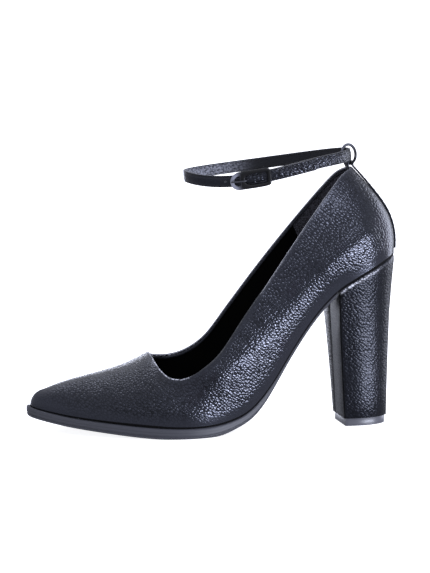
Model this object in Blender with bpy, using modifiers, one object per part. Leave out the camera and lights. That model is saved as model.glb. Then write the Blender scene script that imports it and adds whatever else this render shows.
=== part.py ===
"""Pointed toe pump with an ankle strap and a covered block heel: one left shoe that stands on its sole.

Sizes are in millimetres and become metres where the meshes are made. The toe points to -X, the outer side
of the foot to -Y. A place on the shoe is given as d, the distance from the toe tip along the floor, w, the
distance from the long axis out to the side, and z, the height above the floor.
"""
import math

import bmesh
import bpy
from mathutils import Vector

MM = 0.001
COLLECTION = "pointed_toe_pump"

# Driving sizes
LENGTH = 233.0            # toe tip of the sole to the back of the heel, along the floor
AXIS = 4.0                # the axis of heel and toe lies this far to the inner side of the ball's middle
WALL = 1.8                # leather and lining of the upper
GAP = 0.3                 # clearance where curved pieces meet
INSOLE = 2.0              # thickness of the insole
INSOLE_INSET = 2.9        # insole edge inside the feather line
INSOLE_FRONT = 2.8        # d where the insole starts
INSOLE_BACK = 0.3         # rows of the last that it stops short of the back
THROAT = 7                # row of the last where the ridge ends and the topline starts
SEAT = 17                 # row of the last where the seat of the heel starts

# The last, a row for each section from the toe tip to the centre of the back. The first five columns give
# the feather line where upper and sole meet, the others the ridge and then the topline; flare and lean are
# the angles in degrees of the wall at its foot (outwards from upright) and at its top (up from level).
LAST_COLUMNS = ("d", "z", "lateral", "medial", "flare",
                "top_d", "top_z", "top_lateral", "top_medial", "medial_lift", "lean", "fullness")
LAST_ROWS = (
    (2.2, 16.8, 0.0, 0.0, 0, 9.7, 26.8, 0.0, 0.0, 0.0, 0, 0.39),
    (3.4, 16.4, 4.4, 4.4, 0, 12.4, 27.6, 0.0, 0.0, 0.0, 0, 0.39),
    (7.0, 15.5, 8.2, 8.2, 1, 18.0, 29.7, 0.0, 0.0, 0.0, 0, 0.39),
    (14.0, 14.1, 13.0, 12.9, 2, 27.0, 32.5, 0.0, 0.0, 0.0, 0, 0.39),
    (25.5, 12.1, 19.0, 18.6, 3, 38.0, 35.1, 0.0, 0.0, 0.0, 0, 0.39),
    (38.5, 10.6, 25.2, 24.1, 4, 51.0, 38.2, 0.0, 0.0, 0.0, 0, 0.39),
    (52.0, 9.4, 31.2, 28.8, 5, 64.3, 42.3, 0.0, 0.0, 0.0, 0, 0.39),
    (65.0, 8.3, 35.9, 31.6, 6, 76.7, 48.6, 0.0, 0.0, 0.0, 9, 0.39),
    (76.0, 7.6, 38.8, 32.8, 7, 77.4, 46.6, 13.0, 11.8, 0.6, 21, 0.40),
    (86.0, 7.1, 40.4, 32.7, 8, 80.2, 41.2, 24.6, 21.0, 3.0, 40, 0.40),
    (97.0, 6.9, 40.3, 31.5, 10, 85.8, 37.0, 31.8, 26.6, 5.6, 57, 0.38),
    (109.0, 7.2, 37.8, 29.1, 12, 94.2, 37.2, 35.2, 29.0, 5.2, 68, 0.36),
    (122.0, 9.1, 33.4, 25.9, 15, 104.5, 42.0, 36.4, 29.6, 3.4, 75, 0.35),
    (136.0, 14.8, 28.6, 22.6, 19, 116.2, 51.2, 35.4, 29.2, 2.6, 78, 0.35),
    (150.0, 30.0, 25.2, 21.0, 22, 128.5, 69.0, 32.6, 28.2, 1.2, 81, 0.35),
    (164.0, 52.3, 23.8, 21.4, 22, 141.0, 86.3, 30.2, 27.4, 0.8, 83, 0.35),
    (178.0, 72.3, 23.4, 22.4, 19, 154.5, 105.6, 27.6, 26.2, -0.8, 83, 0.36),
    (192.0, 86.8, 23.6, 23.4, 15, 167.2, 123.4, 25.0, 24.2, -2.4, 81, 0.37),
    (205.0, 94.6, 22.8, 22.8, 12, 178.8, 138.6, 21.2, 20.8, -2.8, 77, 0.38),
    (216.0, 100.0, 19.4, 19.4, 10, 188.8, 150.6, 16.4, 16.2, -2.0, 69, 0.40),
    (224.5, 104.0, 13.6, 13.6, 8, 196.4, 158.4, 11.4, 11.4, -0.8, 59, 0.41),
    (229.7, 106.4, 6.8, 6.8, 7, 202.0, 161.2, 5.8, 5.8, 0.0, 51, 0.42),
    (231.4, 107.2, 0.0, 0.0, 6, 204.4, 161.8, 0.0, 0.0, 0.0, 48, 0.42),
)
LAST = {name: [row[i] for row in LAST_ROWS] for i, name in enumerate(LAST_COLUMNS)}
LAST_END = len(LAST_ROWS) - 1
ODD_COLUMNS = ("lateral", "medial", "top_lateral", "top_medial")

# The outsole along its length: thickness, and how far it stands out past the feather line
SOLE_COLUMNS = ("d", "thickness", "reach")
SOLE_ROWS = (
    (0.0, 5.8, 2.2),
    (30.0, 6.2, 1.8),
    (60.0, 6.9, 1.4),
    (90.0, 7.3, 1.2),
    (114.0, 7.3, 1.0),
    (128.0, 5.7, 0.7),
    (140.0, 4.4, 0.4),
    (147.0, 3.4, 0.1),
    (152.0, 2.3, -0.1),
    (157.0, 1.6, -0.2),
    (192.0, 1.5, -0.4),
)
# The outsole's edge from its top to its bottom, with a narrow step low on the side, above the tread
EDGE_COLUMNS = ("share of the thickness", "stands back")
EDGE_ROWS = (
    (0.00, 0.7),
    (0.12, 0.1),
    (0.38, 0.0),
    (0.64, 0.1),
    (0.68, 0.6),
    (0.76, 0.6),
    (0.80, 0.2),
    (1.00, 0.9),
)
EDGE_THICKNESS = 7.0      # thickness that the edge's set-back belongs to
TOE_CROWDING = 1.4        # power that draws the sole's sections together at the round of the toe

# The heel from the floor up: share of its height, half its width, and the place of its back
HEEL_COLUMNS = ("share", "half", "back")
HEEL_ROWS = (
    (0.00, 14.4, 227.3),
    (0.15, 15.0, 227.5),
    (0.40, 16.4, 228.1),
    (0.65, 18.6, 228.9),
    (0.82, 20.9, 230.2),
    (0.93, 22.7, 231.2),
    (1.00, 23.7, 231.9),
)
BREAST_TOP = 191.0        # the heel's front face at the seat, and at the floor
BREAST_FLOOR = 197.0
BREAST_SKEW = 0.06        # the front face is turned a little to the outer side
TOP_PIECE = 4.7           # thickness of the walking piece, and how far it is set in
TOP_PIECE_INSET = 1.2

# Back strip and ring
STRIP_WIDTH = 4.2
STRIP = 1.0               # thickness of the strip's leather
STRIP_START = 0.04        # share of the back's height where the strip starts
STRIP_INSIDE = 0.84       # share of the back's height down to which its folded end goes inside
STRIP_HOLLOW = 0.8        # clearance of the folded end from the hollow inside of the wall
FOLD_RISE = 1.7           # the fold's middle above the topline, and in front of it
FOLD_FORWARD = -1.8
FOLD_RADIUS = 1.95        # middle of the strip's leather around the ring's wire
RING_RADIUS = 6.0
RING_WIRE = 0.95
RING_TURN = math.radians(-56.5)

# Ankle strap: an oval loop seen from above, through the ring at its back
STRAP_WIDTH = 7.2
STRAP = 1.8
STRAP_SOFT = 0.45         # softened edges
STRAP_FRONT = 99.5        # d of the loop's front and back
STRAP_BACK = 202.9
STRAP_HALF = 25.0         # half the loop's width
STRAP_FRONT_Z = 157.7
STRAP_BACK_Z = 169.8
OUTER_SAG = 4.0           # the buckle's weight pulls the outer side down
SAG_SPAN = 133.0          # degrees of the loop, from its front, that hang so
INNER_SAG = 1.8
STRAP_LEAN = math.radians(7)
LAYER = 2.2               # the free end lies this far outside the strap's start
# Places on the loop as angles from the ring, over the inner side and the front to the outer side
START_ANGLE = math.radians(-101.0)
END_ANGLE = math.radians(300.5)
RAMP_ANGLES = (math.radians(186.0), math.radians(234.0))
STRAP_STEP = math.radians(4.0)
TIP_LENGTH = 4.0          # rounded end of the strap

# Buckle, in places along the strap from its centre bar and across it
BUCKLE_ANGLE = math.radians(247.6)
BUCKLE_WIRE = 0.8
BAR_WIRE = 0.72
BUCKLE_HALF = 4.5         # half the frame's height, to the middle of the wire
BUCKLE_SQUARE = 15.6      # reach of the square end
BUCKLE_ROUND = 6.2        # reach of the round end
BUCKLE_DROOP = 1.4        # the round end hangs below the strap's line
BUCKLE_CORNER = 1.2       # rounding of the square end
PRONG_WIRE = 0.6
PRONG_HOLE = 1.1          # radius of the hole that the prong comes through
HOLE_PLACE = 2.4
PRONG_DROP = 0.3          # the prong lies a little below the strap's middle

# Colours, roughness and metallic value of the materials
FINISHES = {
    "pebbled_leather": ((0.012, 0.012, 0.014), 0.45, 0.0),
    "sock_leather": ((0.016, 0.016, 0.017), 0.7, 0.0),
    "sole_rubber": ((0.05, 0.05, 0.054), 0.5, 0.0),
    "heel_cover": ((0.012, 0.012, 0.014), 0.45, 0.0),
    "top_piece_rubber": ((0.03, 0.03, 0.032), 0.6, 0.0),
    "strap_leather": ((0.02, 0.02, 0.022), 0.45, 0.0),
    "painted_metal": ((0.16, 0.16, 0.18), 0.3, 0.6),
}


# Curves

def through(values, at, before, after):
    """Smooth curve through evenly spaced values at a fractional row, with a value past each end."""
    row = max(0, min(int(at), len(values) - 2))
    part = at - row
    padded = [before] + list(values) + [after]
    p0, p1, p2, p3 = padded[row:row + 4]
    slope_1 = (p2 - p0) / 2
    slope_2 = (p3 - p1) / 2
    return hermite(p1, p2, slope_1, slope_2, part)


def hermite(start, end, slope_start, slope_end, part):
    """Cubic from start to end with the slopes given, part from 0 to 1."""
    square = part * part
    cube = square * part
    return ((2 * cube - 3 * square + 1) * start + (cube - 2 * square + part) * slope_start
            + (3 * square - 2 * cube) * end + (cube - square) * slope_end)


def by_distance(places, values, at):
    """Smooth curve through values at uneven places, straight past the ends."""
    last = len(places) - 1
    for near, end in ((1, 0), (last - 1, last)):
        if (at - places[end]) * (places[end] - places[near]) >= 0.0:
            slope = (values[end] - values[near]) / (places[end] - places[near])
            return values[end] + slope * (at - places[end])
    row = max(i for i in range(last) if places[i] <= at)
    step = places[row + 1] - places[row]

    def slope(i):
        low = max(i - 1, 0)
        high = min(i + 1, last)
        return (values[high] - values[low]) / (places[high] - places[low])

    part = (at - places[row]) / step
    return hermite(values[row], values[row + 1], slope(row) * step, slope(row + 1) * step, part)


def foot_value(name, r):
    """Column of the feather line at row r; the line goes on past toe and back as its own mirror image."""
    values = LAST[name]
    sign = -1 if name in ODD_COLUMNS else 1
    return through(values, r, sign * values[1], sign * values[-2])


def top_value(name, r):
    """Column of the wall's top at row r: the ridge up to the throat, then the topline.

    Both come to rest at the throat, so that the wall below it stays smooth.
    """
    values = LAST[name]
    sign = -1 if name in ODD_COLUMNS else 1
    if r <= THROAT:
        ridge = values[:THROAT + 1]
        return through(ridge, r, 2 * ridge[0] - ridge[1], ridge[-2])
    topline = values[THROAT:]
    return through(topline, r - THROAT, topline[1], sign * topline[-2])


def bottom_height(d):
    """Height of the last's bottom, which is level from side to side."""
    return by_distance(LAST["d"], LAST["z"], d)


def bottom_offset(d, depth):
    """Height of the face that lies depth below the last's bottom, measured square to it."""
    step = 0.5
    slope = (bottom_height(d + step) - bottom_height(d - step)) / (2 * step)
    return bottom_height(d) - depth * math.hypot(1.0, slope)


def foot_line(r, side, outset=0.0):
    """Feather line at row r as (d, w), moved outwards in plan."""
    out = foot_outward(r, side)
    return foot_value("d", r) + out[0] * outset, foot_value(side, r) + out[1] * outset


def foot_outward(r, side):
    """Direction in plan that points away from the foot at row r."""
    step = 0.02
    low = max(r - step, 0.0)
    high = min(r + step, LAST_END)
    along = foot_value("d", high) - foot_value("d", low)
    aside = foot_value(side, high) - foot_value(side, low)
    if r <= 0.0:
        return (-1.0, 0.0)
    if r >= LAST_END:
        return (1.0, 0.0)
    size = math.hypot(along, aside)
    return (-aside / size, along / size)


def row_at(d):
    """Row of the last whose feather line is at distance d from the toe."""
    low, high = 0.0, float(LAST_END)
    for _ in range(40):
        middle = (low + high) / 2
        if foot_value("d", middle) < d:
            low = middle
        else:
            high = middle
    return (low + high) / 2


def place(d, w, z, side):
    """World point in metres of a place on the shoe."""
    sign = -1.0 if side == "lateral" else 1.0
    return Vector((d - LENGTH / 2, AXIS + sign * w, z)) * MM


# Meshes

def new_object(name, mesh, finish):
    """Object of a mesh in the part's collection, with its own material."""
    colour, roughness, metallic = FINISHES[finish]
    material = bpy.data.materials.new(name + "_" + finish)
    material.use_nodes = True
    shader = material.node_tree.nodes["Principled BSDF"]
    shader.inputs["Base Color"].default_value = (*colour, 1.0)
    shader.inputs["Roughness"].default_value = roughness
    shader.inputs["Metallic"].default_value = metallic
    mesh.materials.clear()
    mesh.materials.append(material)
    piece = bpy.data.objects.new(name, mesh)
    bpy.data.collections[COLLECTION].objects.link(piece)
    return piece


def mesh_from(name, shape):
    """Mesh of a bmesh whose doubles are merged, with its faces pointing outwards and shaded smooth."""
    bmesh.ops.remove_doubles(shape, verts=shape.verts, dist=0.00001)
    bmesh.ops.dissolve_degenerate(shape, edges=shape.edges, dist=0.00001)
    bmesh.ops.recalc_face_normals(shape, faces=shape.faces)
    for face in shape.faces:
        face.smooth = True
    mesh = bpy.data.meshes.new(name)
    shape.to_mesh(mesh)
    shape.free()
    return mesh


def add_strip(shape, first, second, closed):
    """Faces between two rows of bmesh vertices."""
    count = len(first)
    for i in range(count if closed else count - 1):
        j = (i + 1) % count
        corners = []
        for vertex in (first[i], first[j], second[j], second[i]):
            if vertex not in corners:
                corners.append(vertex)
        shape.faces.new(corners)


def loft(name, rings):
    """Closed body through rings of points, with a face on each end."""
    shape = bmesh.new()
    rows = [[shape.verts.new(point) for point in ring] for ring in rings]
    for first, second in zip(rows, rows[1:]):
        add_strip(shape, first, second, closed=True)
    shape.faces.new(rows[0])
    shape.faces.new(rows[-1])
    return mesh_from(name, shape)


def tube(name, points, radius, cyclic):
    """Round wire through points, as a curve with a bevel, made a mesh."""
    curve = bpy.data.curves.new(name, "CURVE")
    curve.dimensions = "3D"
    curve.bevel_depth = radius * MM
    curve.bevel_resolution = 2
    curve.use_fill_caps = not cyclic
    spline = curve.splines.new("POLY")
    spline.points.add(len(points) - 1)
    for control, point in zip(spline.points, points):
        control.co = (*point, 1.0)
    spline.use_cyclic_u = cyclic
    wire = bpy.data.objects.new(name + "_wire", curve)
    bpy.context.scene.collection.objects.link(wire)
    bpy.context.view_layer.update()
    mesh = bpy.data.meshes.new_from_object(wire.evaluated_get(bpy.context.evaluated_depsgraph_get()))
    bpy.data.objects.remove(wire)
    shape = bmesh.new()
    shape.from_mesh(mesh)
    bpy.data.meshes.remove(mesh)
    return mesh_from(name, shape)


def add_boolean(piece, other, operation):
    """Exact Boolean of a piece with a hidden object of the cutters' collection."""
    other.hide_render = True
    other.display_type = "WIRE"
    modifier = piece.modifiers.new(other.name, "BOOLEAN")
    modifier.operation = operation
    modifier.solver = "EXACT"
    modifier.object = other


def new_cutter(name, mesh):
    """Object in the cutters' collection."""
    cutter = bpy.data.objects.new(name, mesh)
    bpy.data.collections["cutters"].objects.link(cutter)
    return cutter


# Upper, insole and sole

def wall_point(r, t, side):
    """Outer face of the upper as (d, w, z): row r from toe to back, t from the sole to the wall's top."""
    d, w = foot_line(r, side)
    low = Vector((d, w, bottom_height(d)))
    lift = top_value("medial_lift", r) if side == "medial" else 0.0
    high = Vector((top_value("top_d", r), top_value("top_" + side, r), top_value("top_z", r) + lift))
    out = Vector((*foot_outward(r, side), 0.0))
    flare = math.radians(foot_value("flare", r))
    leave = out * math.sin(flare) + Vector((0.0, 0.0, math.cos(flare)))
    if r <= THROAT:
        step = 0.05
        slope = ((top_value("top_z", r) - top_value("top_z", r - step))
                 / (top_value("top_d", r) - top_value("top_d", r - step)))
        run = Vector((high.x - low.x, high.y - low.y, 0.0)).normalized()
        arrive = Vector((run.x, run.y, run.x * slope)).normalized()
    else:
        lean = math.radians(top_value("lean", r))
        arrive = Vector((0.0, 0.0, math.sin(lean))) - out * math.cos(lean)
    reach = foot_value("fullness", r) * (high - low).length
    near = low + leave * reach
    far = high - arrive * reach
    rest = 1.0 - t
    return rest ** 3 * low + 3 * rest * rest * t * near + 3 * rest * t * t * far + t ** 3 * high


def build_upper(steps=3, levels=8):
    """Hollow upper: an open surface of sections on both sides, given its wall by Solidify."""
    shape = bmesh.new()
    rows = [i / steps for i in range(LAST_END * steps + 1)]
    for side in ("lateral", "medial"):
        grid = []
        for r in rows:
            points = [place(*wall_point(r, k / levels, side), side) for k in range(levels + 1)]
            grid.append([shape.verts.new(point) for point in points])
        for first, second in zip(grid, grid[1:]):
            add_strip(shape, first, second, closed=False)
    piece = new_object("upper", mesh_from("upper", shape), "pebbled_leather")
    wall = piece.modifiers.new("wall", "SOLIDIFY")
    wall.thickness = WALL * MM
    wall.offset = -1.0
    wall.use_even_offset = True
    return piece


def build_insole(stations=44):
    """Insole inside the upper, on the bottom of the last."""
    first = row_at(INSOLE_FRONT)
    last = LAST_END - INSOLE_BACK
    rings = []
    for i in range(stations + 1):
        r = first + (last - first) * i / stations
        ring = []
        for side, depths in (("lateral", (0.0, -INSOLE)), ("medial", (-INSOLE, 0.0))):
            d, w = foot_line(r, side, -INSOLE_INSET)
            ring += [place(d, w, bottom_offset(d, depth), side) for depth in depths]
        rings.append(ring)
    return new_object("insole", loft("insole", rings), "sock_leather")


def sole_value(name, d):
    """Column of the outsole at distance d."""
    columns = list(zip(*SOLE_ROWS))
    return by_distance(columns[0], columns[SOLE_COLUMNS.index(name)], d)


def breast_distance(share, w, side):
    """Place of the heel's front face at a share of the heel's height."""
    sign = 1.0 if side == "lateral" else -1.0
    return BREAST_FLOOR + (BREAST_TOP - BREAST_FLOOR) * share + sign * w * BREAST_SKEW


def build_outsole(stations=54):
    """Outsole from the toe to the heel's front face, flat on the floor under the ball."""
    breast = HEEL_ROWS[-1][HEEL_COLUMNS.index("half")]
    ends = {side: row_at(breast_distance(1.0, breast, side) - 1.0) for side in ("lateral", "medial")}
    rings = []
    for i in range(stations + 1):
        share = (i / stations) ** TOE_CROWDING
        ring = []
        for side, edge in (("lateral", EDGE_ROWS), ("medial", EDGE_ROWS[::-1])):
            r = ends[side] * share
            d = foot_value("d", r)
            thickness = sole_value("thickness", d)
            for part, back in edge:
                outset = sole_value("reach", d) - back * thickness / EDGE_THICKNESS
                along, w = foot_line(r, side, outset)
                z = bottom_offset(along, GAP + part * thickness)
                ring.append(place(along, w, max(z, 0.0), side))
        rings.append(ring)
    return new_object("outsole", loft("outsole", rings), "sole_rubber")


# Heel

def seat_outline(stations=36):
    """Outline of the heel from breast to back as (share of its depth, share of its half width)."""
    first = row_at(BREAST_TOP)
    start = foot_value("d", first)
    depth = LAST["d"][-1] - start
    wide = max(LAST["lateral"][SEAT:])
    points = []
    for i in range(stations + 1):
        # The stations crowd towards the round of the back.
        r = first + (LAST_END - first) * math.sin(math.pi / 2 * i / stations)
        points.append(((foot_value("d", r) - start) / depth, foot_value("lateral", r) / wide))
    return points


def heel_block(name, levels):
    """Body under the seat, through levels of (share of the heel's height, inset, z as a function of d)."""
    columns = list(zip(*HEEL_ROWS))
    rings = []
    for deep, wide in seat_outline():
        ring = []
        for side, order in (("lateral", levels), ("medial", levels[::-1])):
            for share, inset, height in order:
                w = wide * (by_distance(columns[0], columns[1], share) - inset)
                back = by_distance(columns[0], columns[2], share) - inset
                front = breast_distance(share, w, side) + inset
                d = front + deep * (back - front)
                ring.append(place(d, w, height(d), side))
        rings.append(ring)
    return loft(name, rings)


def build_heel():
    """Covered heel from the walking piece up to the seat, which slopes with the last."""
    floor = TOP_PIECE + GAP

    def level(share):
        return lambda d: floor + share * (bottom_offset(d, GAP) - floor)

    levels = [(share, 0.0, level(share)) for share, _, _ in HEEL_ROWS]
    return new_object("heel", heel_block("heel", levels), "heel_cover")


def build_top_piece():
    """Walking piece under the heel, set in all round."""
    levels = [(0.0, TOP_PIECE_INSET, lambda d: 0.0), (0.0, TOP_PIECE_INSET, lambda d: TOP_PIECE)]
    return new_object("heel_top_piece", heel_block("heel_top_piece", levels), "top_piece_rubber")


# Back strip and ring

def back_frame(t):
    """Centre of the back at height share t: point, upward direction and outward direction, as (d, z)."""
    step = 0.01
    low = wall_point(LAST_END, max(t - step, 0.0), "lateral")
    high = wall_point(LAST_END, min(t + step, 1.0), "lateral")
    middle = wall_point(LAST_END, t, "lateral")
    up = Vector((high.x - low.x, high.z - low.z)).normalized()
    return Vector((middle.x, middle.z)), up, Vector((up.y, -up.x))


def fold_centre():
    """Centre of the ring's wire in the fold of the strip, as (d, z)."""
    top = wall_point(LAST_END, 1.0, "lateral")
    return Vector((top.x + FOLD_FORWARD, top.z + FOLD_RISE))


def build_back_strip(runs=14, turns=8, tail=5):
    """Strip down the centre of the back, twisted and folded over the ring's wire to the inside."""
    across = Vector((0.0, -1.0, 0.0))
    wire = Vector((math.cos(RING_TURN), math.sin(RING_TURN), 0.0))
    behind = Vector((-wire.y, wire.x, 0.0))
    path = []
    for i in range(runs + 1):
        point, _, out = back_frame(STRIP_START + (1.0 - STRIP_START) * i / runs)
        point += out * (GAP + STRIP / 2)
        path.append((Vector((point.x, 0.0, point.y)), Vector((out.x, 0.0, out.y)), across))
    centre = fold_centre()
    for i in range(turns + 1):
        angle = math.pi * i / turns
        away = behind * math.cos(angle) + Vector((0.0, 0.0, math.sin(angle)))
        path.append((Vector((centre.x, 0.0, centre.y)) + away * FOLD_RADIUS, away, wire))
    for i in range(tail):
        point, _, out = back_frame(1.0 - (1.0 - STRIP_INSIDE) * i / (tail - 1))
        point -= out * (WALL + STRIP_HOLLOW + STRIP / 2)
        path.append((Vector((point.x, 0.0, point.y)), Vector((-out.x, 0.0, -out.y)), across))
    rings = []
    for point, out, aside in path:
        face = out * STRIP / 2
        edge = aside * STRIP_WIDTH / 2
        corners = (point - face + edge, point + face + edge, point + face - edge, point - face - edge)
        rings.append([place(*corner, "medial") for corner in corners])
    return new_object("back_strip", loft("back_strip", rings), "strap_leather")


def build_ring():
    """Round ring that stands in the fold, turned half towards the toe."""
    centre = fold_centre()
    bpy.ops.mesh.primitive_torus_add(major_segments=32, minor_segments=10, major_radius=RING_RADIUS * MM,
                                     minor_radius=RING_WIRE * MM)
    made = bpy.context.object
    mesh = made.data
    bpy.data.objects.remove(made)
    for face in mesh.polygons:
        face.use_smooth = True
    piece = new_object("ring", mesh, "painted_metal")
    piece.location = place(centre.x, 0.0, centre.y + RING_RADIUS, "lateral")
    piece.rotation_euler = (math.pi / 2, 0.0, RING_TURN)
    return piece


# Strap and buckle

def strap_layer(angle):
    """How far the strap lies outside the loop's line: it climbs over its own start on the outer side."""
    start, end = RAMP_ANGLES
    part = max(0.0, min(1.0, (angle - start) / (end - start)))
    return LAYER * part * part * (3 - 2 * part)


def strap_point(angle, across, out):
    """World point on the strap's loop, across its width and out from the loop's line."""
    reach = (STRAP_BACK - STRAP_FRONT) / 2
    d = (STRAP_BACK + STRAP_FRONT) / 2 + reach * math.cos(angle)
    y = STRAP_HALF * math.sin(angle)
    away = Vector((STRAP_HALF * math.cos(angle), reach * math.sin(angle))).normalized()
    rise = (d - STRAP_FRONT) / (STRAP_BACK - STRAP_FRONT)
    past_front = (math.degrees(angle) - 180.0) % 360.0
    outer = past_front < SAG_SPAN
    sag = OUTER_SAG * math.sin(math.pi * past_front / SAG_SPAN) ** 2 if outer else 0.0
    if math.sin(angle) > 0.0:
        sag = INNER_SAG * math.sin(angle) ** 2
    z = STRAP_FRONT_Z + (STRAP_BACK_Z - STRAP_FRONT_Z) * rise - sag
    d = d + away.x * out - math.sin(STRAP_LEAN) * across
    y = y + away.y * out
    z = z + math.cos(STRAP_LEAN) * across
    return place(d, y, z, "medial")


def strap_angle(along):
    """Angle of a place along the strap from the buckle's centre bar."""
    step = 0.01
    there = strap_point(BUCKLE_ANGLE + step, 0.0, 0.0)
    back = strap_point(BUCKLE_ANGLE - step, 0.0, 0.0)
    return BUCKLE_ANGLE + along * MM * 2 * step / (there - back).length


def build_strap():
    """Strap as one band from its start behind the buckle, round the loop, to its rounded free end."""
    count = round((END_ANGLE - START_ANGLE) / STRAP_STEP)
    angles = [START_ANGLE + (END_ANGLE - START_ANGLE) * i / count for i in range(count)]
    last_step = strap_point(END_ANGLE, 0.0, 0.0) - strap_point(END_ANGLE - STRAP_STEP, 0.0, 0.0)
    tip = TIP_LENGTH * MM * STRAP_STEP / last_step.length
    halves = [1.0] * len(angles)
    while angles[-1] > END_ANGLE - tip:
        angles.pop()
        halves.pop()
    for turn in (0.0, 0.5, 0.8, 0.95):
        angles.append(END_ANGLE - tip + tip * turn)
        halves.append(math.sqrt(1.0 - turn * turn))
    thick = STRAP / 2
    side = thick - STRAP_SOFT
    rings = []
    for angle, part in zip(angles, halves):
        half = STRAP_WIDTH / 2 * part
        flat = half - STRAP_SOFT * part
        layer = strap_layer(angle)
        corners = ((-half, -side), (-flat, -thick), (flat, -thick), (half, -side),
                   (half, side), (flat, thick), (-flat, thick), (-half, side))
        rings.append([strap_point(angle, across, layer + out) for across, out in corners])
    piece = new_object("ankle_strap", loft("ankle_strap", rings), "strap_leather")
    hole = [strap_point(strap_angle(HOLE_PLACE), 0.0, LAYER + out) for out in (-1.5 * thick, 1.5 * thick)]
    cutter = new_cutter("prong_hole", tube("prong_hole", hole, PRONG_HOLE, cyclic=False))
    add_boolean(piece, cutter, "DIFFERENCE")
    return piece


def build_buckle(bends=10):
    """Buckle frame over the free end: a square end, a round end that hangs a little, and a bar between."""
    out = LAYER + STRAP / 2 + GAP + BUCKLE_WIRE
    bend = 0.3 * BUCKLE_CORNER
    upper = [(0.0, BUCKLE_HALF), (BUCKLE_SQUARE / 2, BUCKLE_HALF),
             (BUCKLE_SQUARE - BUCKLE_CORNER, BUCKLE_HALF), (BUCKLE_SQUARE - bend, BUCKLE_HALF - bend),
             (BUCKLE_SQUARE, BUCKLE_HALF - BUCKLE_CORNER)]
    outline = [(along, -across) for along, across in upper] + upper[::-1]
    for i in range(1, bends):
        angle = math.pi * i / bends
        droop = BUCKLE_DROOP * math.sin(angle) * (1.0 - math.cos(angle)) / 2
        outline.append((-BUCKLE_ROUND * math.sin(angle), BUCKLE_HALF * math.cos(angle) - droop))
    path = [strap_point(strap_angle(along), across, out) for along, across in outline]
    frame = tube("buckle_frame", path, BUCKLE_WIRE, cyclic=True)
    piece = new_object("buckle_frame", frame, "painted_metal")
    ends = [strap_point(strap_angle(0.0), across, out) for across in (-BUCKLE_HALF, BUCKLE_HALF)]
    bar = new_cutter("buckle_bar", tube("buckle_bar", ends, BAR_WIRE, cyclic=False))
    add_boolean(piece, bar, "UNION")
    return piece


def build_prong():
    """Prong that comes through the strap's hole and lies over the bar to the round end."""
    over = LAYER + STRAP / 2 + 2 * (GAP + BUCKLE_WIRE) + PRONG_WIRE
    route = ((HOLE_PLACE + 0.2, 0.5), (HOLE_PLACE, 1.8), (HOLE_PLACE - 0.1, over - 1.6),
             (HOLE_PLACE - 0.6, over - 0.5), (HOLE_PLACE - 1.4, over), (-1.5, over),
             (-4.0, over - 0.2), (-BUCKLE_ROUND - 0.6, over))
    path = [strap_point(strap_angle(along), -PRONG_DROP, out) for along, out in route]
    prong = tube("buckle_prong", path, PRONG_WIRE, cyclic=False)
    return new_object("buckle_prong", prong, "painted_metal")


# Assembly

def clear_scene():
    """Empty scene with the part's collection and the cutters' collection."""
    for item in list(bpy.data.objects):
        bpy.data.objects.remove(item)
    for name in (COLLECTION, "cutters"):
        collection = bpy.data.collections.new(name)
        bpy.context.scene.collection.children.link(collection)


def centre_on_floor(pieces):
    """Hangs every piece on one empty, so that the middle of the part's footprint is the origin."""
    bpy.context.view_layer.update()
    graph = bpy.context.evaluated_depsgraph_get()
    corners = []
    for piece in pieces:
        made = piece.evaluated_get(graph)
        corners += [made.matrix_world @ vertex.co for vertex in made.data.vertices]
    low = [min(corner[i] for corner in corners) for i in range(3)]
    high = [max(corner[i] for corner in corners) for i in range(3)]
    holder = bpy.data.objects.new("shoe_origin", None)
    bpy.data.collections[COLLECTION].objects.link(holder)
    holder.location = (-(low[0] + high[0]) / 2, -(low[1] + high[1]) / 2, -low[2])
    for piece in pieces + list(bpy.data.collections["cutters"].objects):
        piece.parent = holder


def main():
    clear_scene()
    pieces = [build_insole(), build_upper(), build_outsole(), build_heel(), build_top_piece(),
              build_back_strip(), build_ring(), build_strap(), build_buckle(), build_prong()]
    centre_on_floor(pieces)


main()
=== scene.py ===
"""Looks of the pointed toe pump: leather, lining, sole edge, covered heel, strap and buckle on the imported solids."""
import math

import bmesh
import bpy
from mathutils import Matrix, Vector
from mathutils.bvhtree import BVHTree


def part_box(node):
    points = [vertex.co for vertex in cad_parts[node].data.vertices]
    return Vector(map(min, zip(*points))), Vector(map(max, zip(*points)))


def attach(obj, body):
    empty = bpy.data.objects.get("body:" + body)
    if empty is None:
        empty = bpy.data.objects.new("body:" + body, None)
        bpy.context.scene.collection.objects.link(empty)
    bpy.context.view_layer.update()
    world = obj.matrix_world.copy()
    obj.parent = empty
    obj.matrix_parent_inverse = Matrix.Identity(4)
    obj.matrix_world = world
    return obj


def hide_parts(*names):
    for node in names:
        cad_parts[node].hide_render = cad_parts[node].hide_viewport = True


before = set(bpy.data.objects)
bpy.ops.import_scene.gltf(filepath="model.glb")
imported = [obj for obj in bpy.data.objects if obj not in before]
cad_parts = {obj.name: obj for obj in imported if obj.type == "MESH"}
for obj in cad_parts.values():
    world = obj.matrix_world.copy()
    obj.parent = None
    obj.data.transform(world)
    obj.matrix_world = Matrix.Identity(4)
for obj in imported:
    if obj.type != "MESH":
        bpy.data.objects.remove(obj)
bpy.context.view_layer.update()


# Sock
# Thin smooth leather glued on the insole board, which follows the bottom of the last.
# It is dark grey with a low shine and shows between the walls of the shoe.

MM = 0.001


def srgb(code):
    """Linear colour of an sRGB hex value."""
    parts = [int(code[i:i + 2], 16) / 255 for i in (0, 2, 4)]
    linear = [c / 12.92 if c <= 0.04045 else ((c + 0.055) / 1.055) ** 2.4 for c in parts]
    return (*linear, 1.0)


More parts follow.
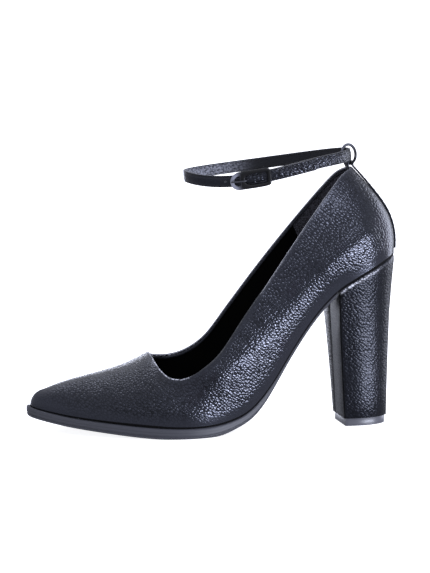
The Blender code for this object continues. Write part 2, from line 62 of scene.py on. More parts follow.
def add_node(tree, kind, inputs=None, **settings):
    """New node with its settings; an input is a value, or an output that is linked to it."""
    node = tree.nodes.new(kind)
    for name, value in settings.items():
        setattr(node, name, value)
    for key, value in (inputs or {}).items():
        if isinstance(value, bpy.types.NodeSocket):
            tree.links.new(value, node.inputs[key])
        else:
            node.inputs[key].default_value = value
    return node


def new_material(name, colour, roughness, **sockets):
    """Material with its shader's plain values set; returns the material, its tree and its shader."""
    material = bpy.data.materials.new(name)
    material.use_nodes = True
    shader = material.node_tree.nodes["Principled BSDF"]
    shader.inputs["Base Color"].default_value = srgb(colour)
    shader.inputs["Roughness"].default_value = roughness
    for key, value in sockets.items():
        shader.inputs[key.replace("_", " ")].default_value = value
    return material, material.node_tree, shader


def joined_copy(node):
    """Bmesh of a CAD node with its loose triangles merged and joined into quads."""
    shape = bmesh.new()
    shape.from_mesh(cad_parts[node].data)
    bmesh.ops.remove_doubles(shape, verts=shape.verts, dist=0.001 * MM)
    bmesh.ops.join_triangles(shape, faces=shape.faces, angle_face_threshold=math.radians(40),
                             angle_shape_threshold=math.pi)
    return shape


def sharp_edges(shape, degrees):
    """Edges where two faces meet at more than an angle."""
    limit = math.radians(degrees)
    return [edge for edge in shape.edges if edge.is_manifold and edge.calc_face_angle() > limit]


def round_edges(shape, edges, radius, segments, clamp=True):
    """Rounds edges of a bmesh and returns the new faces."""
    return bmesh.ops.bevel(shape, geom=edges, offset=radius, segments=segments, affect="EDGES", profile=0.5,
                           material=-1, clamp_overlap=clamp)["faces"]


def show(name, shape, materials, replaced=()):
    """Piece of a bmesh, shaded smooth, that rides on the shoe and stands for CAD nodes."""
    for face in shape.faces:
        face.smooth = True
    mesh = bpy.data.meshes.new(name)
    shape.to_mesh(mesh)
    shape.free()
    for material in materials:
        mesh.materials.append(material)
    piece = bpy.data.objects.new(name, mesh)
    bpy.context.scene.collection.objects.link(piece)
    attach(piece, "root")
    if replaced:
        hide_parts(*replaced)
    return piece


# Sock leather: finished sheep leather, smooth, with fine pores and an uneven soft shine where it was pressed.
sock_leather, tree, shader = new_material("sock_sheepskin", "2a2b31", 0.42, Specular_IOR_Level=0.4)
place = add_node(tree, "ShaderNodeTexCoord")
pores = add_node(tree, "ShaderNodeTexNoise", {"Vector": place.outputs["Object"], "Scale": 1 / (0.9 * MM),
                                              "Detail": 3.0})
bump = add_node(tree, "ShaderNodeBump", {"Height": pores.outputs["Fac"], "Strength": 0.4, "Distance": 0.1 * MM})
tree.links.new(bump.outputs["Normal"], shader.inputs["Normal"])
press_marks = add_node(tree, "ShaderNodeTexNoise", {"Vector": place.outputs["Object"], "Scale": 1 / (14 * MM),
                                                    "Detail": 2.0})
gloss = add_node(tree, "ShaderNodeMapRange", {"Value": press_marks.outputs["Fac"], "From Min": 0.35,
                                              "From Max": 0.65, "To Min": 0.34, "To Max": 0.52})
tree.links.new(gloss.outputs[0], shader.inputs["Roughness"])

SOCK_EDGE = 0.4 * MM
sock = joined_copy("insole")
round_edges(sock, sharp_edges(sock, 50), SOCK_EDGE, 2)
show("sock", sock, [sock_leather], ["insole"])


# Upper
# Pebbled cowhide lasted over the foot form, with its topline folded to the inside over a black lining.
# The grain is flat along the fold and where the hide is glued down, and plumpest over the vamp.

PEBBLE = 1.6 * MM
PEBBLE_DEPTH = 0.185 * MM
PEBBLE_TURN = math.radians(-41.0)                 # the pebbles lie along the slope of the sides
PEBBLE_STRETCH = 0.72                             # width of a pebble for its length
PEBBLE_WANDER = 0.6                               # how far the rows stray, in pebbles
PEBBLE_SCATTER = 0.72                             # from 0 for even rows to 1 for none
PEBBLE_DOME = -1.4                                # fall of a pebble's top towards its edge
CREASE_WIDTH = 0.22                               # in pebbles
CREASE_STEP = 0.2                                 # share of the depth
WRINKLE_STEP = 0.04
GLOSS_LOSS = 0.1                                  # roughness added in the creases, and where the grain is flat
# Grain along the shoe: mm along, share of the depth
GRAIN_ROWS = ((-110.0, 1.0), (-85.0, 1.7), (-45.0, 1.8), (-15.0, 1.1), (20.0, 0.95), (50.0, 0.85),
              (116.0, 0.85))
FLAT_AT_FOLD = ((0.6, 0.25), (3.4, 1.0))          # mm from the topline, share of the grain
FLAT_AT_FEATHER = ((1.0, 0.12), (5.0, 0.3), (10.0, 1.0))       # mm from the lasting edge, share of the grain


def pebbled_leather(name, colour, pebble, depth, shine=0.13, specular=0.3, grain=None, edge_highlight=None):
    """Tumbled leather: irregular plump pebbles with fine creases between them, and a thin glossy finish; the creases
    carry painted shade, and where an attribute asks, the pebble tops carry a painted highlight.
    """
    material, tree, shader = new_material(name, colour, shine, Specular_IOR_Level=specular,
                                          Coat_Weight=specular / 2, Coat_Roughness=0.11)
    shader.inputs["Specular Tint"].default_value = srgb("e2e8ff")
    place = add_node(tree, "ShaderNodeTexCoord")
    turned = add_node(tree, "ShaderNodeVectorRotate", {"Vector": place.outputs["Object"], "Angle": PEBBLE_TURN},
                      rotation_type="Y_AXIS")
    per_pebble = (PEBBLE_STRETCH / pebble, 1 / pebble, 1 / pebble)
    cells = add_node(tree, "ShaderNodeVectorMath", {0: turned.outputs[0], 1: per_pebble}, operation="MULTIPLY")
    drift = add_node(tree, "ShaderNodeTexNoise", {"Vector": cells.outputs[0], "Scale": 0.8, "Detail": 2.0})
    sway = add_node(tree, "ShaderNodeVectorMath", {0: drift.outputs["Color"], 1: [PEBBLE_WANDER] * 3,
                                                   2: cells.outputs[0]}, operation="MULTIPLY_ADD")
    layout = {"Vector": sway.outputs[0], "Scale": 1.0, "Randomness": PEBBLE_SCATTER}
    pebbles = add_node(tree, "ShaderNodeTexVoronoi", layout)
    dome = add_node(tree, "ShaderNodeMath", {0: pebbles.outputs["Distance"], 1: pebbles.outputs["Distance"]},
                    operation="MULTIPLY")
    plump = add_node(tree, "ShaderNodeMath", {0: dome.outputs[0], 1: PEBBLE_DOME, 2: 1.0},
                     operation="MULTIPLY_ADD")
    folds = add_node(tree, "ShaderNodeTexVoronoi", layout, feature="DISTANCE_TO_EDGE")
    crease = add_node(tree, "ShaderNodeMapRange", {"Value": folds.outputs["Distance"], "From Max": CREASE_WIDTH},
                      interpolation_type="SMOOTHSTEP")
    wrinkles = add_node(tree, "ShaderNodeTexNoise", {"Vector": sway.outputs[0], "Scale": 1.6, "Detail": 0.0})
    form = add_node(tree, "ShaderNodeMath", {0: crease.outputs[0], 1: CREASE_STEP, 2: plump.outputs[0]},
                    operation="MULTIPLY_ADD")
    form = add_node(tree, "ShaderNodeMath", {0: wrinkles.outputs["Fac"], 1: WRINKLE_STEP, 2: form.outputs[0]},
                    operation="MULTIPLY_ADD")
    zones = add_node(tree, "ShaderNodeTexNoise", {"Vector": cells.outputs[0], "Scale": 0.11, "Detail": 2.0})
    share = add_node(tree, "ShaderNodeMapRange", {"Value": zones.outputs["Fac"], "From Min": 0.35,
                                                  "From Max": 0.6, "To Min": 0.7, "To Max": 1.0})
    if grain:
        local = add_node(tree, "ShaderNodeAttribute", attribute_name=grain)
        share = add_node(tree, "ShaderNodeMath", {0: share.outputs[0], 1: local.outputs["Fac"]},
                         operation="MULTIPLY")
    height = add_node(tree, "ShaderNodeMath", {0: form.outputs[0], 1: share.outputs[0]}, operation="MULTIPLY")
    bump = add_node(tree, "ShaderNodeBump", {"Height": height.outputs[0], "Strength": 1.0, "Distance": depth})
    tree.links.new(bump.outputs["Normal"], shader.inputs["Normal"])
    tree.links.new(bump.outputs["Normal"], shader.inputs["Coat Normal"])
    open_crease = add_node(tree, "ShaderNodeMath", {0: 1.0, 1: crease.outputs[0]}, operation="SUBTRACT")
    open_crease = add_node(tree, "ShaderNodeMath", {0: open_crease.outputs[0], 1: share.outputs[0]},
                           operation="MULTIPLY")
    worn_flat = add_node(tree, "ShaderNodeMapRange", {"Value": share.outputs[0], "To Min": shine + GLOSS_LOSS,
                                                      "To Max": shine})
    gloss = add_node(tree, "ShaderNodeMath", {0: open_crease.outputs[0], 1: GLOSS_LOSS, 2: worn_flat.outputs[0]},
                     operation="MULTIPLY_ADD")
    tree.links.new(gloss.outputs[0], shader.inputs["Roughness"])
    # Painted shade: the colour is darkened to near black in the open creases, where shade falls between the pebbles.
    tone = add_node(tree, "ShaderNodeMix", {"Factor": open_crease.outputs[0], 6: srgb(colour),
                                            7: srgb("020202")}, data_type="RGBA")
    # Painted highlight: where the named attribute asks for it, the pebble tops are painted light grey.
    if edge_highlight:
        highlight_share = add_node(tree, "ShaderNodeAttribute", attribute_name=edge_highlight)
        tops = add_node(tree, "ShaderNodeMath", {0: highlight_share.outputs["Fac"], 1: crease.outputs[0]},
                        operation="MULTIPLY")
        tone = add_node(tree, "ShaderNodeMix", {"Factor": tops.outputs[0], 6: tone.outputs["Result"],
                                                7: srgb("c4c6d0")}, data_type="RGBA")
    tree.links.new(tone.outputs["Result"], shader.inputs["Base Color"])
    return material


def face_patches(shape, degrees):
    """Groups of faces that meet at less than an angle, the largest area first."""
    limit = math.radians(degrees)
    left = set(shape.faces)
    groups = []
    for start in shape.faces:
        if start not in left:
            continue
        left.remove(start)
        group = [start]
        for face in group:
            for edge in face.edges:
                if edge.is_manifold and edge.calc_face_angle() < limit:
                    for other in edge.link_faces:
                        if other in left:
                            left.remove(other)
                            group.append(other)
        groups.append(group)
    return sorted(groups, key=lambda group: -sum(face.calc_area() for face in group))


def between(rows, at):
    """Value at a place in rows of (place, value), straight between them."""
    for (low, first), (high, second) in zip(rows, rows[1:]):
        if at <= high:
            part = max(0.0, (at - low) / (high - low))
            return first + (second - first) * part
    return rows[-1][1]


def subdivided(shape, levels):
    """Bmesh of a shape after smooth subdivision; edges with a crease stay."""
    mesh = bpy.data.meshes.new("rough_form")
    shape.to_mesh(mesh)
    shape.free()
    rough = bpy.data.objects.new("rough_form", mesh)
    bpy.context.scene.collection.objects.link(rough)
    modifier = rough.modifiers.new("smooth", "SUBSURF")
    modifier.levels = levels
    modifier.render_levels = levels
    bpy.context.view_layer.update()
    finer = bmesh.new()
    finer.from_object(rough, bpy.context.evaluated_depsgraph_get())
    bpy.data.objects.remove(rough)
    bpy.data.meshes.remove(mesh)
    return finer


upper_leather = pebbled_leather("pebbled_cowhide", "1a1b20", PEBBLE, PEBBLE_DEPTH, grain="grain", edge_highlight="edge_highlight")

# Folded hide: the same leather, skived thin and turned over, so its grain is stretched small and flat.
folded_hide = pebbled_leather("skived_cowhide", "191a1f", 1.3 * MM, 0.05 * MM, shine=0.38)

# Edge dye: the cut edge is rubbed smooth and dyed grey, so it draws a thin light line.
edge_dye, tree, shader = new_material("dyed_cut_edge", "1d1e23", 0.5, Specular_IOR_Level=0.25)
place = add_node(tree, "ShaderNodeTexCoord")
fibres = add_node(tree, "ShaderNodeTexNoise", {"Vector": place.outputs["Object"], "Scale": 1 / (0.7 * MM),
                                               "Detail": 3.0})
tone = add_node(tree, "ShaderNodeMix", {"Factor": fibres.outputs["Fac"], 6: srgb("55565e"), 7: srgb("92939b")},
                data_type="RGBA")
tree.links.new(tone.outputs["Result"], shader.inputs["Base Color"])

# Lining: black pigskin, matt, with pores in threes, which stays dark inside.
lining, tree, shader = new_material("black_pigskin", "020202", 0.8, Specular_IOR_Level=0.05)
place = add_node(tree, "ShaderNodeTexCoord")
pores = add_node(tree, "ShaderNodeTexVoronoi", {"Vector": place.outputs["Object"], "Scale": 1 / (1.6 * MM)})
bump = add_node(tree, "ShaderNodeBump", {"Height": pores.outputs["Distance"], "Strength": 0.3,
                                         "Distance": 0.2 * MM})
tree.links.new(bump.outputs["Normal"], shader.inputs["Normal"])

# Heel grip: the lining's back part, turned with its rough side out, so it is a greyer mottled nap.
heel_grip, tree, shader = new_material("napped_pigskin", "18181c", 0.9, Specular_IOR_Level=0.1, Sheen_Weight=0.15)
place = add_node(tree, "ShaderNodeTexCoord")
nap = add_node(tree, "ShaderNodeTexNoise", {"Vector": place.outputs["Object"], "Scale": 1 / (0.8 * MM),
                                            "Detail": 4.0})
patchy = add_node(tree, "ShaderNodeMapRange", {"Value": nap.outputs["Fac"], "From Min": 0.38, "From Max": 0.64})
tone = add_node(tree, "ShaderNodeMix", {"Factor": patchy.outputs[0], 6: srgb("0e0e11"), 7: srgb("46464e")},
                data_type="RGBA")
tree.links.new(tone.outputs["Result"], shader.inputs["Base Color"])
bump = add_node(tree, "ShaderNodeBump", {"Height": nap.outputs["Fac"], "Strength": 0.6, "Distance": 0.2 * MM})
tree.links.new(bump.outputs["Normal"], shader.inputs["Normal"])

# Gap shade: a matt black line painted where the lasted edge meets the sole, as painted shade in the gap.
gap_shade, tree, shader = new_material("painted_gap_shade", "050506", 0.8, Specular_IOR_Level=0.08)
place = add_node(tree, "ShaderNodeTexCoord")
drops = add_node(tree, "ShaderNodeTexNoise", {"Vector": place.outputs["Object"], "Scale": 1 / (1.5 * MM),
                                              "Detail": 2.0})
bump = add_node(tree, "ShaderNodeBump", {"Height": drops.outputs["Fac"], "Strength": 0.5, "Distance": 0.1 * MM})
tree.links.new(bump.outputs["Normal"], shader.inputs["Normal"])

OUTSIDE, EDGE, INSIDE, GRIP, GAP_SHADE = range(5)
upper = joined_copy("upper")
patches = face_patches(upper, 50)
top_rim = max(patches[2:], key=lambda group: max(face.calc_center_median().z for face in group))
for group, index in ((patches[0], OUTSIDE), (patches[1], INSIDE), (top_rim, EDGE)):
    for face in group:
        face.material_index = index


def loop_of(edges):
    """Vertices along a closed loop of edges, in order."""
    left = set(edges)
    start = edges[0]
    walk = []
    ahead = start.verts[0]
    while start:
        left.discard(start)
        walk.append(ahead)
        ahead = start.other_vert(ahead)
        start = next((edge for edge in ahead.link_edges if edge in left), None)
    return walk


def finer_loop(points, parts):
    """Closed loop of points with smooth points put in between."""
    made = []
    for i, here in enumerate(points):
        before, after, beyond = points[i - 1], points[(i + 1) % len(points)], points[(i + 2) % len(points)]
        for k in range(parts):
            t = k / parts
            made.append(0.5 * (2 * here + t * (after - before)
                               + t * t * (2 * before - 5 * here + 4 * after - beyond)
                               + t ** 3 * (3 * here - before - 3 * after + beyond)))
    return made


topline = loop_of([edge for edge in upper.edges
                   if {face.material_index for face in edge.link_faces} == {INSIDE, EDGE}])
topline_ways = []
for vert in topline:
    inside = [edge.other_vert(vert) for edge in vert.link_edges
              if all(face.material_index == INSIDE for face in edge.link_faces)]
    topline_ways.append((min(inside, key=lambda other: other.co.z).co - vert.co).normalized())
STATION_PARTS = 3
topline_points = finer_loop([vert.co.copy() for vert in topline], STATION_PARTS)
topline_ways = [way.normalized() for way in finer_loop(topline_ways, STATION_PARTS)]

feather_faces = [face for group in patches[2:] if group is not top_rim for face in group]
feather_tree = BVHTree.FromPolygons([vert.co for vert in upper.verts],
                                    [[vert.index for vert in face.verts] for face in feather_faces])
TOP_ROUND = 0.45 * MM
FEATHER_ROUND = 0.7 * MM
top_edges = {edge for face in top_rim for edge in face.edges}
top_edges = [edge for edge in sharp_edges(upper, 50) if edge in top_edges]
top_round = set(round_edges(upper, top_edges, TOP_ROUND, 2))
for face in top_round:
    face.material_index = OUTSIDE
rim_side = [face for face in top_round
            if any(other.material_index == EDGE for edge in face.edges for other in edge.link_faces)]
for face in rim_side:
    face.material_index = EDGE
# The rounded lasted edge is painted black, as painted shade in the gap above the sole.
for face in round_edges(upper, sharp_edges(upper, 50), FEATHER_ROUND, 2):
    face.material_index = GAP_SHADE
upper = subdivided(upper, 2)


def off_line(at, line):
    """Distance from a point to a line through points."""
    gaps = []
    for start, end in zip(line, line[1:]):
        span = end - start
        part = max(0.0, min(1.0, (at - start).dot(span) / span.length_squared))
        gaps.append((at - start - span * part).length)
    return min(gaps)


def raise_ridge(shape, verts, line, width, height, share):
    """Raises a soft ridge along a line of points on a shape, held back by a function of the place."""
    shape.normal_update()
    moves = {}
    for vert in verts:
        gap = off_line(vert.co, line)
        if gap < 3 * width:
            moves[vert] = vert.normal * height * share(vert.co) * math.exp(-(gap / width) ** 2)
    for vert, move in moves.items():
        vert.co += move


# Soft ridges on the outer side, as points, width and height in mm: the quarter's bulge, where the leather is
# stretched over the last; the bulge over the seat, where the stiffener ends; and the roll beside the topline
RIDGES = (
    (((-2.5, -33.0, 38.0), (18.5, -28.0, 52.0), (39.5, -24.0, 73.0), (59.5, -22.0, 97.0), (76.5, -20.5, 112.5),
      (90.0, -16.5, 122.0)), 12.0, 1.8),
    (((66.0, -21.0, 106.0), (80.0, -20.5, 116.0), (90.0, -16.5, 123.0)), 9.0, 1.3),
    (((-16.5, -35.1, 27.0), (-8.3, -33.9, 36.5), (6.4, -31.5, 51.0), (15.5, -29.3, 64.0), (25.9, -27.0, 80.5)),
     9.0, 1.0),
)
RIDGE_HELD = ((0.5, 0.0), (8.5, 1.0))      # mm from the lasting edge, share of the height
outer_verts = {vert for face in upper.faces if face.material_index == OUTSIDE for vert in face.verts}
outer_verts = [vert for vert in outer_verts if all(face.material_index == OUTSIDE for face in vert.link_faces)]
for line, width, height in RIDGES:
    raise_ridge(upper, outer_verts, [Vector(point) * MM for point in line], width * MM, height * MM,
                lambda at: between(RIDGE_HELD, feather_tree.find_nearest(at)[3] / MM))

# The heel grip's front edge: a point on it and the way to the back
GRIP_POINT = Vector((56.4, 24.0, 119.8)) * MM
GRIP_WAY = Vector((0.89, 0.0, 0.45))
inner_faces = [face for face in upper.faces if face.material_index == INSIDE]
inner_parts = list({part for face in inner_faces for part in (face, *face.edges, *face.verts)})
bmesh.ops.bisect_plane(upper, geom=inner_parts, plane_co=GRIP_POINT, plane_no=GRIP_WAY)
for face in upper.faces:
    if face.material_index == INSIDE and (face.calc_center_median() - GRIP_POINT).dot(GRIP_WAY) > 0:
        face.material_index = GRIP

# Painted highlight along the topline: pebble tops near the cut edge are painted light, most at the throat, where the
# edge catches the light.
TOPLINE_HIGHLIGHT_RIM = ((0.4, 1.0), (0.9, 0.0))             # mm from the cut edge, share of the painted highlight
TOPLINE_HIGHLIGHT_ROWS = ((-45.0, 1.0), (-28.0, 0.9), (-15.0, 0.4), (5.0, 0.16), (116.0, 0.1))      # mm along, share
grain_layer = upper.verts.layers.float.new("grain")
highlight_layer = upper.verts.layers.float.new("edge_highlight")
upper.verts.index_update()
rim_tree = BVHTree.FromPolygons([vert.co for vert in upper.verts],
                                [[vert.index for vert in face.verts] for face in upper.faces
                                 if face.material_index == EDGE])
for vert in upper.verts:
    to_rim = rim_tree.find_nearest(vert.co)[3] / MM
    to_feather = feather_tree.find_nearest(vert.co)[3] / MM
    vert[grain_layer] = (between(GRAIN_ROWS, vert.co.x / MM) * between(FLAT_AT_FOLD, to_rim)
                         * between(FLAT_AT_FEATHER, to_feather))
    vert[highlight_layer] = between(TOPLINE_HIGHLIGHT_RIM, to_rim) * between(TOPLINE_HIGHLIGHT_ROWS, vert.co.x / MM)


def sweep(sections, closed):
    """Bmesh of a skin through sections of points: the first is joined up, and then extruded from one to the next.
    Each vertex keeps its number within its section as its lane."""
    shape = bmesh.new()
    lane = shape.verts.layers.int.new("lane")
    ring = [shape.verts.new(point) for point in sections[0]]
    for i, vert in enumerate(ring):
        vert[lane] = i
    edges = [shape.edges.new(pair) for pair in zip(ring, ring[1:] + ring[:1])]
    first = list(edges)
    for section in sections[1:] + (sections[:1] if closed else []):
        made = bmesh.ops.extrude_edge_only(shape, edges=edges)["geom"]
        fresh = {item for item in made if isinstance(item, bmesh.types.BMVert)}
        ring = [next(e.other_vert(v) for e in v.link_edges if e.other_vert(v) in fresh) for v in ring]
        for i, (vert, point) in enumerate(zip(ring, section)):
            vert.co = point
            vert[lane] = i
        edges = [shape.edges.get(pair) for pair in zip(ring, ring[1:] + ring[:1])]
    if closed:
        bmesh.ops.remove_doubles(shape, verts=shape.verts, dist=0.001 * MM)
    else:
        bmesh.ops.holes_fill(shape, edges=first + edges, sides=0)
    bmesh.ops.recalc_face_normals(shape, faces=shape.faces)
    return shape


# The fold's section as mm down the lining and into the shoe; its last lanes are the cut edge
FOLD_SECTION = ((0.1, -0.2), (0.25, 0.2), (0.7, 0.36), (2.5, 0.36), (2.95, 0.3), (3.1, -0.2))
CUT_LANES = {4, 5}
inner_tree = BVHTree.FromPolygons([vert.co for vert in upper.verts],
                                  [[vert.index for vert in face.verts] for face in upper.faces
                                   if face.material_index in (INSIDE, GRIP)])
fold_sections = []
for point, way in zip(topline_points, topline_ways):
    section = []
    for down, lift in FOLD_SECTION:
        seat, normal, _, _ = inner_tree.find_nearest(point + way * down * MM)
        section.append(seat + normal * lift * MM)
    fold_sections.append(section)
fold = sweep(fold_sections, closed=True)
lane = fold.verts.layers.int["lane"]
for face in fold.faces:
    face.material_index = int({vert[lane] for vert in face.verts} == CUT_LANES)
wall_tree = BVHTree.FromPolygons([vert.co for vert in upper.verts],
                                 [[vert.index for vert in face.verts] for face in upper.faces
                                  if face.material_index == OUTSIDE])
show("upper_wall", upper, [upper_leather, edge_dye, lining, heel_grip, gap_shade], ["upper"])
show("topline_fold", fold, [folded_hide, edge_dye])


# Outsole
# Moulded dark grey rubber with a thick edge round the forepart and a thin cover under the arch.
# Its edge is trimmed on a wheel, which leaves fine lines along it.

# Rubber: moulded and trimmed, satin, with fine lines along the edge and a slight mottle.
sole_rubber, tree, shader = new_material("moulded_rubber", "2b2c32", 0.5, Specular_IOR_Level=0.35)
place = add_node(tree, "ShaderNodeTexCoord")
lines = add_node(tree, "ShaderNodeAttribute", attribute_name="edge_height")
stripes = add_node(tree, "ShaderNodeTexNoise", {"W": lines.outputs["Fac"], "Scale": 9.0, "Detail": 2.0},
                   noise_dimensions="1D")
mottle = add_node(tree, "ShaderNodeTexNoise", {"Vector": place.outputs["Object"], "Scale": 1 / (3 * MM),
                                               "Detail": 3.0})
relief = add_node(tree, "ShaderNodeMath", {0: stripes.outputs["Fac"], 1: 0.35, 2: mottle.outputs["Fac"]},
                  operation="MULTIPLY_ADD")
bump = add_node(tree, "ShaderNodeBump", {"Height": relief.outputs[0], "Strength": 0.6, "Distance": 0.15 * MM})
tree.links.new(bump.outputs["Normal"], shader.inputs["Normal"])
wear = add_node(tree, "ShaderNodeMapRange", {"Value": stripes.outputs["Fac"], "From Min": 0.3, "From Max": 0.7})
tone = add_node(tree, "ShaderNodeMix", {"Factor": wear.outputs[0], 6: srgb("2b2c32"), 7: srgb("36373e")},
                data_type="RGBA")
tree.links.new(tone.outputs["Result"], shader.inputs["Base Color"])

SOLE_SHARP = 25                # degrees
SOLE_CREASE = 0.85             # how far its edges stay sharp when it is smoothed
SOLE_BIN = 3.0 * MM            # length of the pieces whose top and bottom are measured
sole = joined_copy("outsole")
crease_layer = sole.edges.layers.float.new("crease_edge")
for edge in sharp_edges(sole, SOLE_SHARP):
    edge[crease_layer] = SOLE_CREASE
sole = subdivided(sole, 2)
heights = {}
for vert in sole.verts:
    heights.setdefault(round(vert.co.x / SOLE_BIN), []).append(vert.co.z)
sole_rows = [[(at * SOLE_BIN, pick(heights[at])) for at in sorted(heights)] for pick in (min, max)]
edge_layer = sole.verts.layers.float.new("edge_height")
for vert in sole.verts:
    low, high = (between(rows, vert.co.x) for rows in sole_rows)
    vert[edge_layer] = (vert.co.z - low) / max(high - low, MM)
show("rubber_sole", sole, [sole_rubber], ["outsole"])


# Heel
# A moulded block covered with the upper's hide, which is wrapped round the sides and back and turned over the
# front, where its edges meet in a slanting seam. Its top is rolled in under the seat.
# A painted highlight runs along the roll on the outer side.

heel_leather = pebbled_leather("heel_cover_cowhide", "0d0e12", 1.6 * MM, 0.14 * MM, shine=0.24, specular=0.15,
                               edge_highlight="edge_highlight")
HEEL_SHARP = 40                       # degrees
HEEL_ROUND = 0.7 * MM
FRONT_NORMAL = -0.9                   # how far the front faces point along the shoe
FRONT_LEAST = 4 * MM * MM             # area of the smallest face of the front that the seam crosses
ROLL_CUTS = 9                         # rows of points that shape the roll
HEEL_ROLL = (4.0 * MM, 1.8 * MM)      # height and depth of the roll along the cover's top
HEEL_HIGHLIGHT_LINE = (1.7 * MM, 0.6 * MM)      # distance of the painted highlight line from the cover's edge, and half its width
HEEL_HIGHLIGHT_ROWS = ((77.0, 0.5), (84.0, 1.0), (98.0, 0.8), (106.0, 0.1))     # mm along, share of the painted highlight
SEAM = 0.6 * MM                       # half the width of the seam's groove
SEAM_DEPTH = 0.45 * MM
SEAM_TOP = Vector((0.0, 6.2, 85.0)) * MM
SEAM_BOTTOM = Vector((0.0, 11.0, 5.0)) * MM

# Front hide: the cover's outer half is skived thin where it is turned over the front, smooth and satin.
front_hide = pebbled_leather("skived_front_cowhide", "101116", 1.3 * MM, 0.1 * MM, shine=0.5, specular=0.1)
# At the front corners the rounded edge is painted black, as painted shade along the corner
WRAP, TURNED, CORNER = range(3)
heel = joined_copy("heel")
front_edges = {edge for face in heel.faces if face.normal.x < FRONT_NORMAL for edge in face.edges}
corners = [edge for edge in sharp_edges(heel, HEEL_SHARP) if edge in front_edges
           and abs(edge.verts[0].co.z - edge.verts[1].co.z) > 0.9 * edge.calc_length()]
for face in round_edges(heel, corners, HEEL_ROUND, 3, clamp=False):
    face.material_index = CORNER
seat_faces = {face for face in heel.faces if face.normal.z > 0.5}
rim = [edge for edge in sharp_edges(heel, HEEL_SHARP) if seat_faces & set(edge.link_faces)
       and all(face.normal.x > FRONT_NORMAL for face in edge.link_faces)]
rim_verts = {vert for edge in rim for vert in edge.verts}
wall_edges = [edge for vert in rim_verts for edge in vert.link_edges
              if edge not in rim and not seat_faces & set(edge.link_faces)]
rim_lines = [(edge.verts[0].co.copy(), edge.verts[1].co.copy()) for edge in rim]
bmesh.ops.subdivide_edges(heel, edges=wall_edges, cuts=ROLL_CUTS)
heel.normal_update()
highlight_layer = heel.verts.layers.float.new("edge_highlight")
rolled = {}
for vert in heel.verts:
    walls = [face.normal for face in vert.link_faces
             if abs(face.normal.z) < 0.5 and face.normal.x > FRONT_NORMAL]
    if not walls:
        continue
    outward = sum(walls, Vector()).normalized()
    to_rim = min(off_line(vert.co, line) for line in rim_lines)
    if to_rim < HEEL_ROLL[0]:
        rise = 1.0 - to_rim / HEEL_ROLL[0]
        rolled[vert] = -outward * HEEL_ROLL[1] * (1.0 - math.sqrt(max(0.0, 1.0 - rise * rise)))
    # Painted highlight: on the outer side a light line is painted along the roll, where it catches the light.
    if outward.y < 0:
        highlight_share = math.exp(-((to_rim - HEEL_HIGHLIGHT_LINE[0]) / HEEL_HIGHLIGHT_LINE[1]) ** 2)
        vert[highlight_layer] = highlight_share * between(HEEL_HIGHLIGHT_ROWS, vert.co.x / MM)
for vert, move in rolled.items():
    vert.co += move
long_edges = [edge for edge in sharp_edges(heel, HEEL_SHARP) if edge.calc_length() > HEEL_ROUND]
round_edges(heel, long_edges, HEEL_ROUND / 2, 2)
front = [face for face in heel.faces if face.normal.x < FRONT_NORMAL and face.calc_area() > FRONT_LEAST]
seam_way = (SEAM_TOP - SEAM_BOTTOM).cross(Vector((1.0, 0.0, 0.0))).normalized()
for offset in (-SEAM, 0.0, SEAM):
    parts = list({part for face in front for part in (face, *face.edges, *face.verts)})
    cut = bmesh.ops.bisect_plane(heel, geom=parts, plane_co=SEAM_TOP + seam_way * offset, plane_no=seam_way)
    front = list({item for item in cut["geom"] if isinstance(item, bmesh.types.BMFace)})
    if offset == 0.0:
        seam_verts = [item for item in cut["geom_cut"] if isinstance(item, bmesh.types.BMVert)]
for face in front:
    if (face.calc_center_median() - SEAM_TOP).dot(seam_way) * seam_way.y < 0:
        face.material_index = TURNED
for vert in seam_verts:
    vert.co.x += SEAM_DEPTH
show("heel_cover", heel, [heel_leather, front_hide, gap_shade], ["heel"])


# Heel top piece
# The walking piece: a block of cast polyurethane, nailed under the heel and set in a little all round.
# It is trimmed on a wheel.

# Polyurethane: hard and a little shiny, with the faint level lines of the wheel.
top_rubber, tree, shader = new_material("cast_polyurethane", "3d3e45", 0.34, Specular_IOR_Level=0.45)
place = add_node(tree, "ShaderNodeTexCoord")
levels = add_node(tree, "ShaderNodeMapping", {"Vector": place.outputs["Object"],
                                              "Scale": (1 / (50 * MM), 1 / (50 * MM), 1 / (0.8 * MM))})
trim = add_node(tree, "ShaderNodeTexNoise", {"Vector": levels.outputs[0], "Scale": 1.0, "Detail": 2.0})
tone = add_node(tree, "ShaderNodeMix", {"Factor": trim.outputs["Fac"], 6: srgb("2f3036"), 7: srgb("4c4d55")},
                data_type="RGBA")
tree.links.new(tone.outputs["Result"], shader.inputs["Base Color"])
bump = add_node(tree, "ShaderNodeBump", {"Height": trim.outputs["Fac"], "Strength": 0.3, "Distance": 0.1 * MM})
tree.links.new(bump.outputs["Normal"], shader.inputs["Normal"])

TOP_PIECE_ROUND = 0.4 * MM
top_piece = joined_copy("heel_top_piece")
round_edges(top_piece, sharp_edges(top_piece, HEEL_SHARP), TOP_PIECE_ROUND, 2)
show("top_piece", top_piece, [top_rubber], ["heel_top_piece"])


# Back strip
# A narrow strip of the same hide sewn down the back with a row of stitches at each edge, and folded over the
# ring that carries the strap.

STRIP_STITCH_ROW = 1.45 * MM                  # from the middle of the strip
STRIP_MIDDLE = 3.8 * MM                       # towards the inner side
STRIP_ENDS = (2.0 * MM, 3.0 * MM)             # left without stitches at the bottom and the top
STRIP_ROUND = 0.25 * MM
STITCH = (2.4 * MM, 0.42 * MM, 0.3 * MM)      # length, width and height of a stitch
STITCH_PITCH = 3.2 * MM

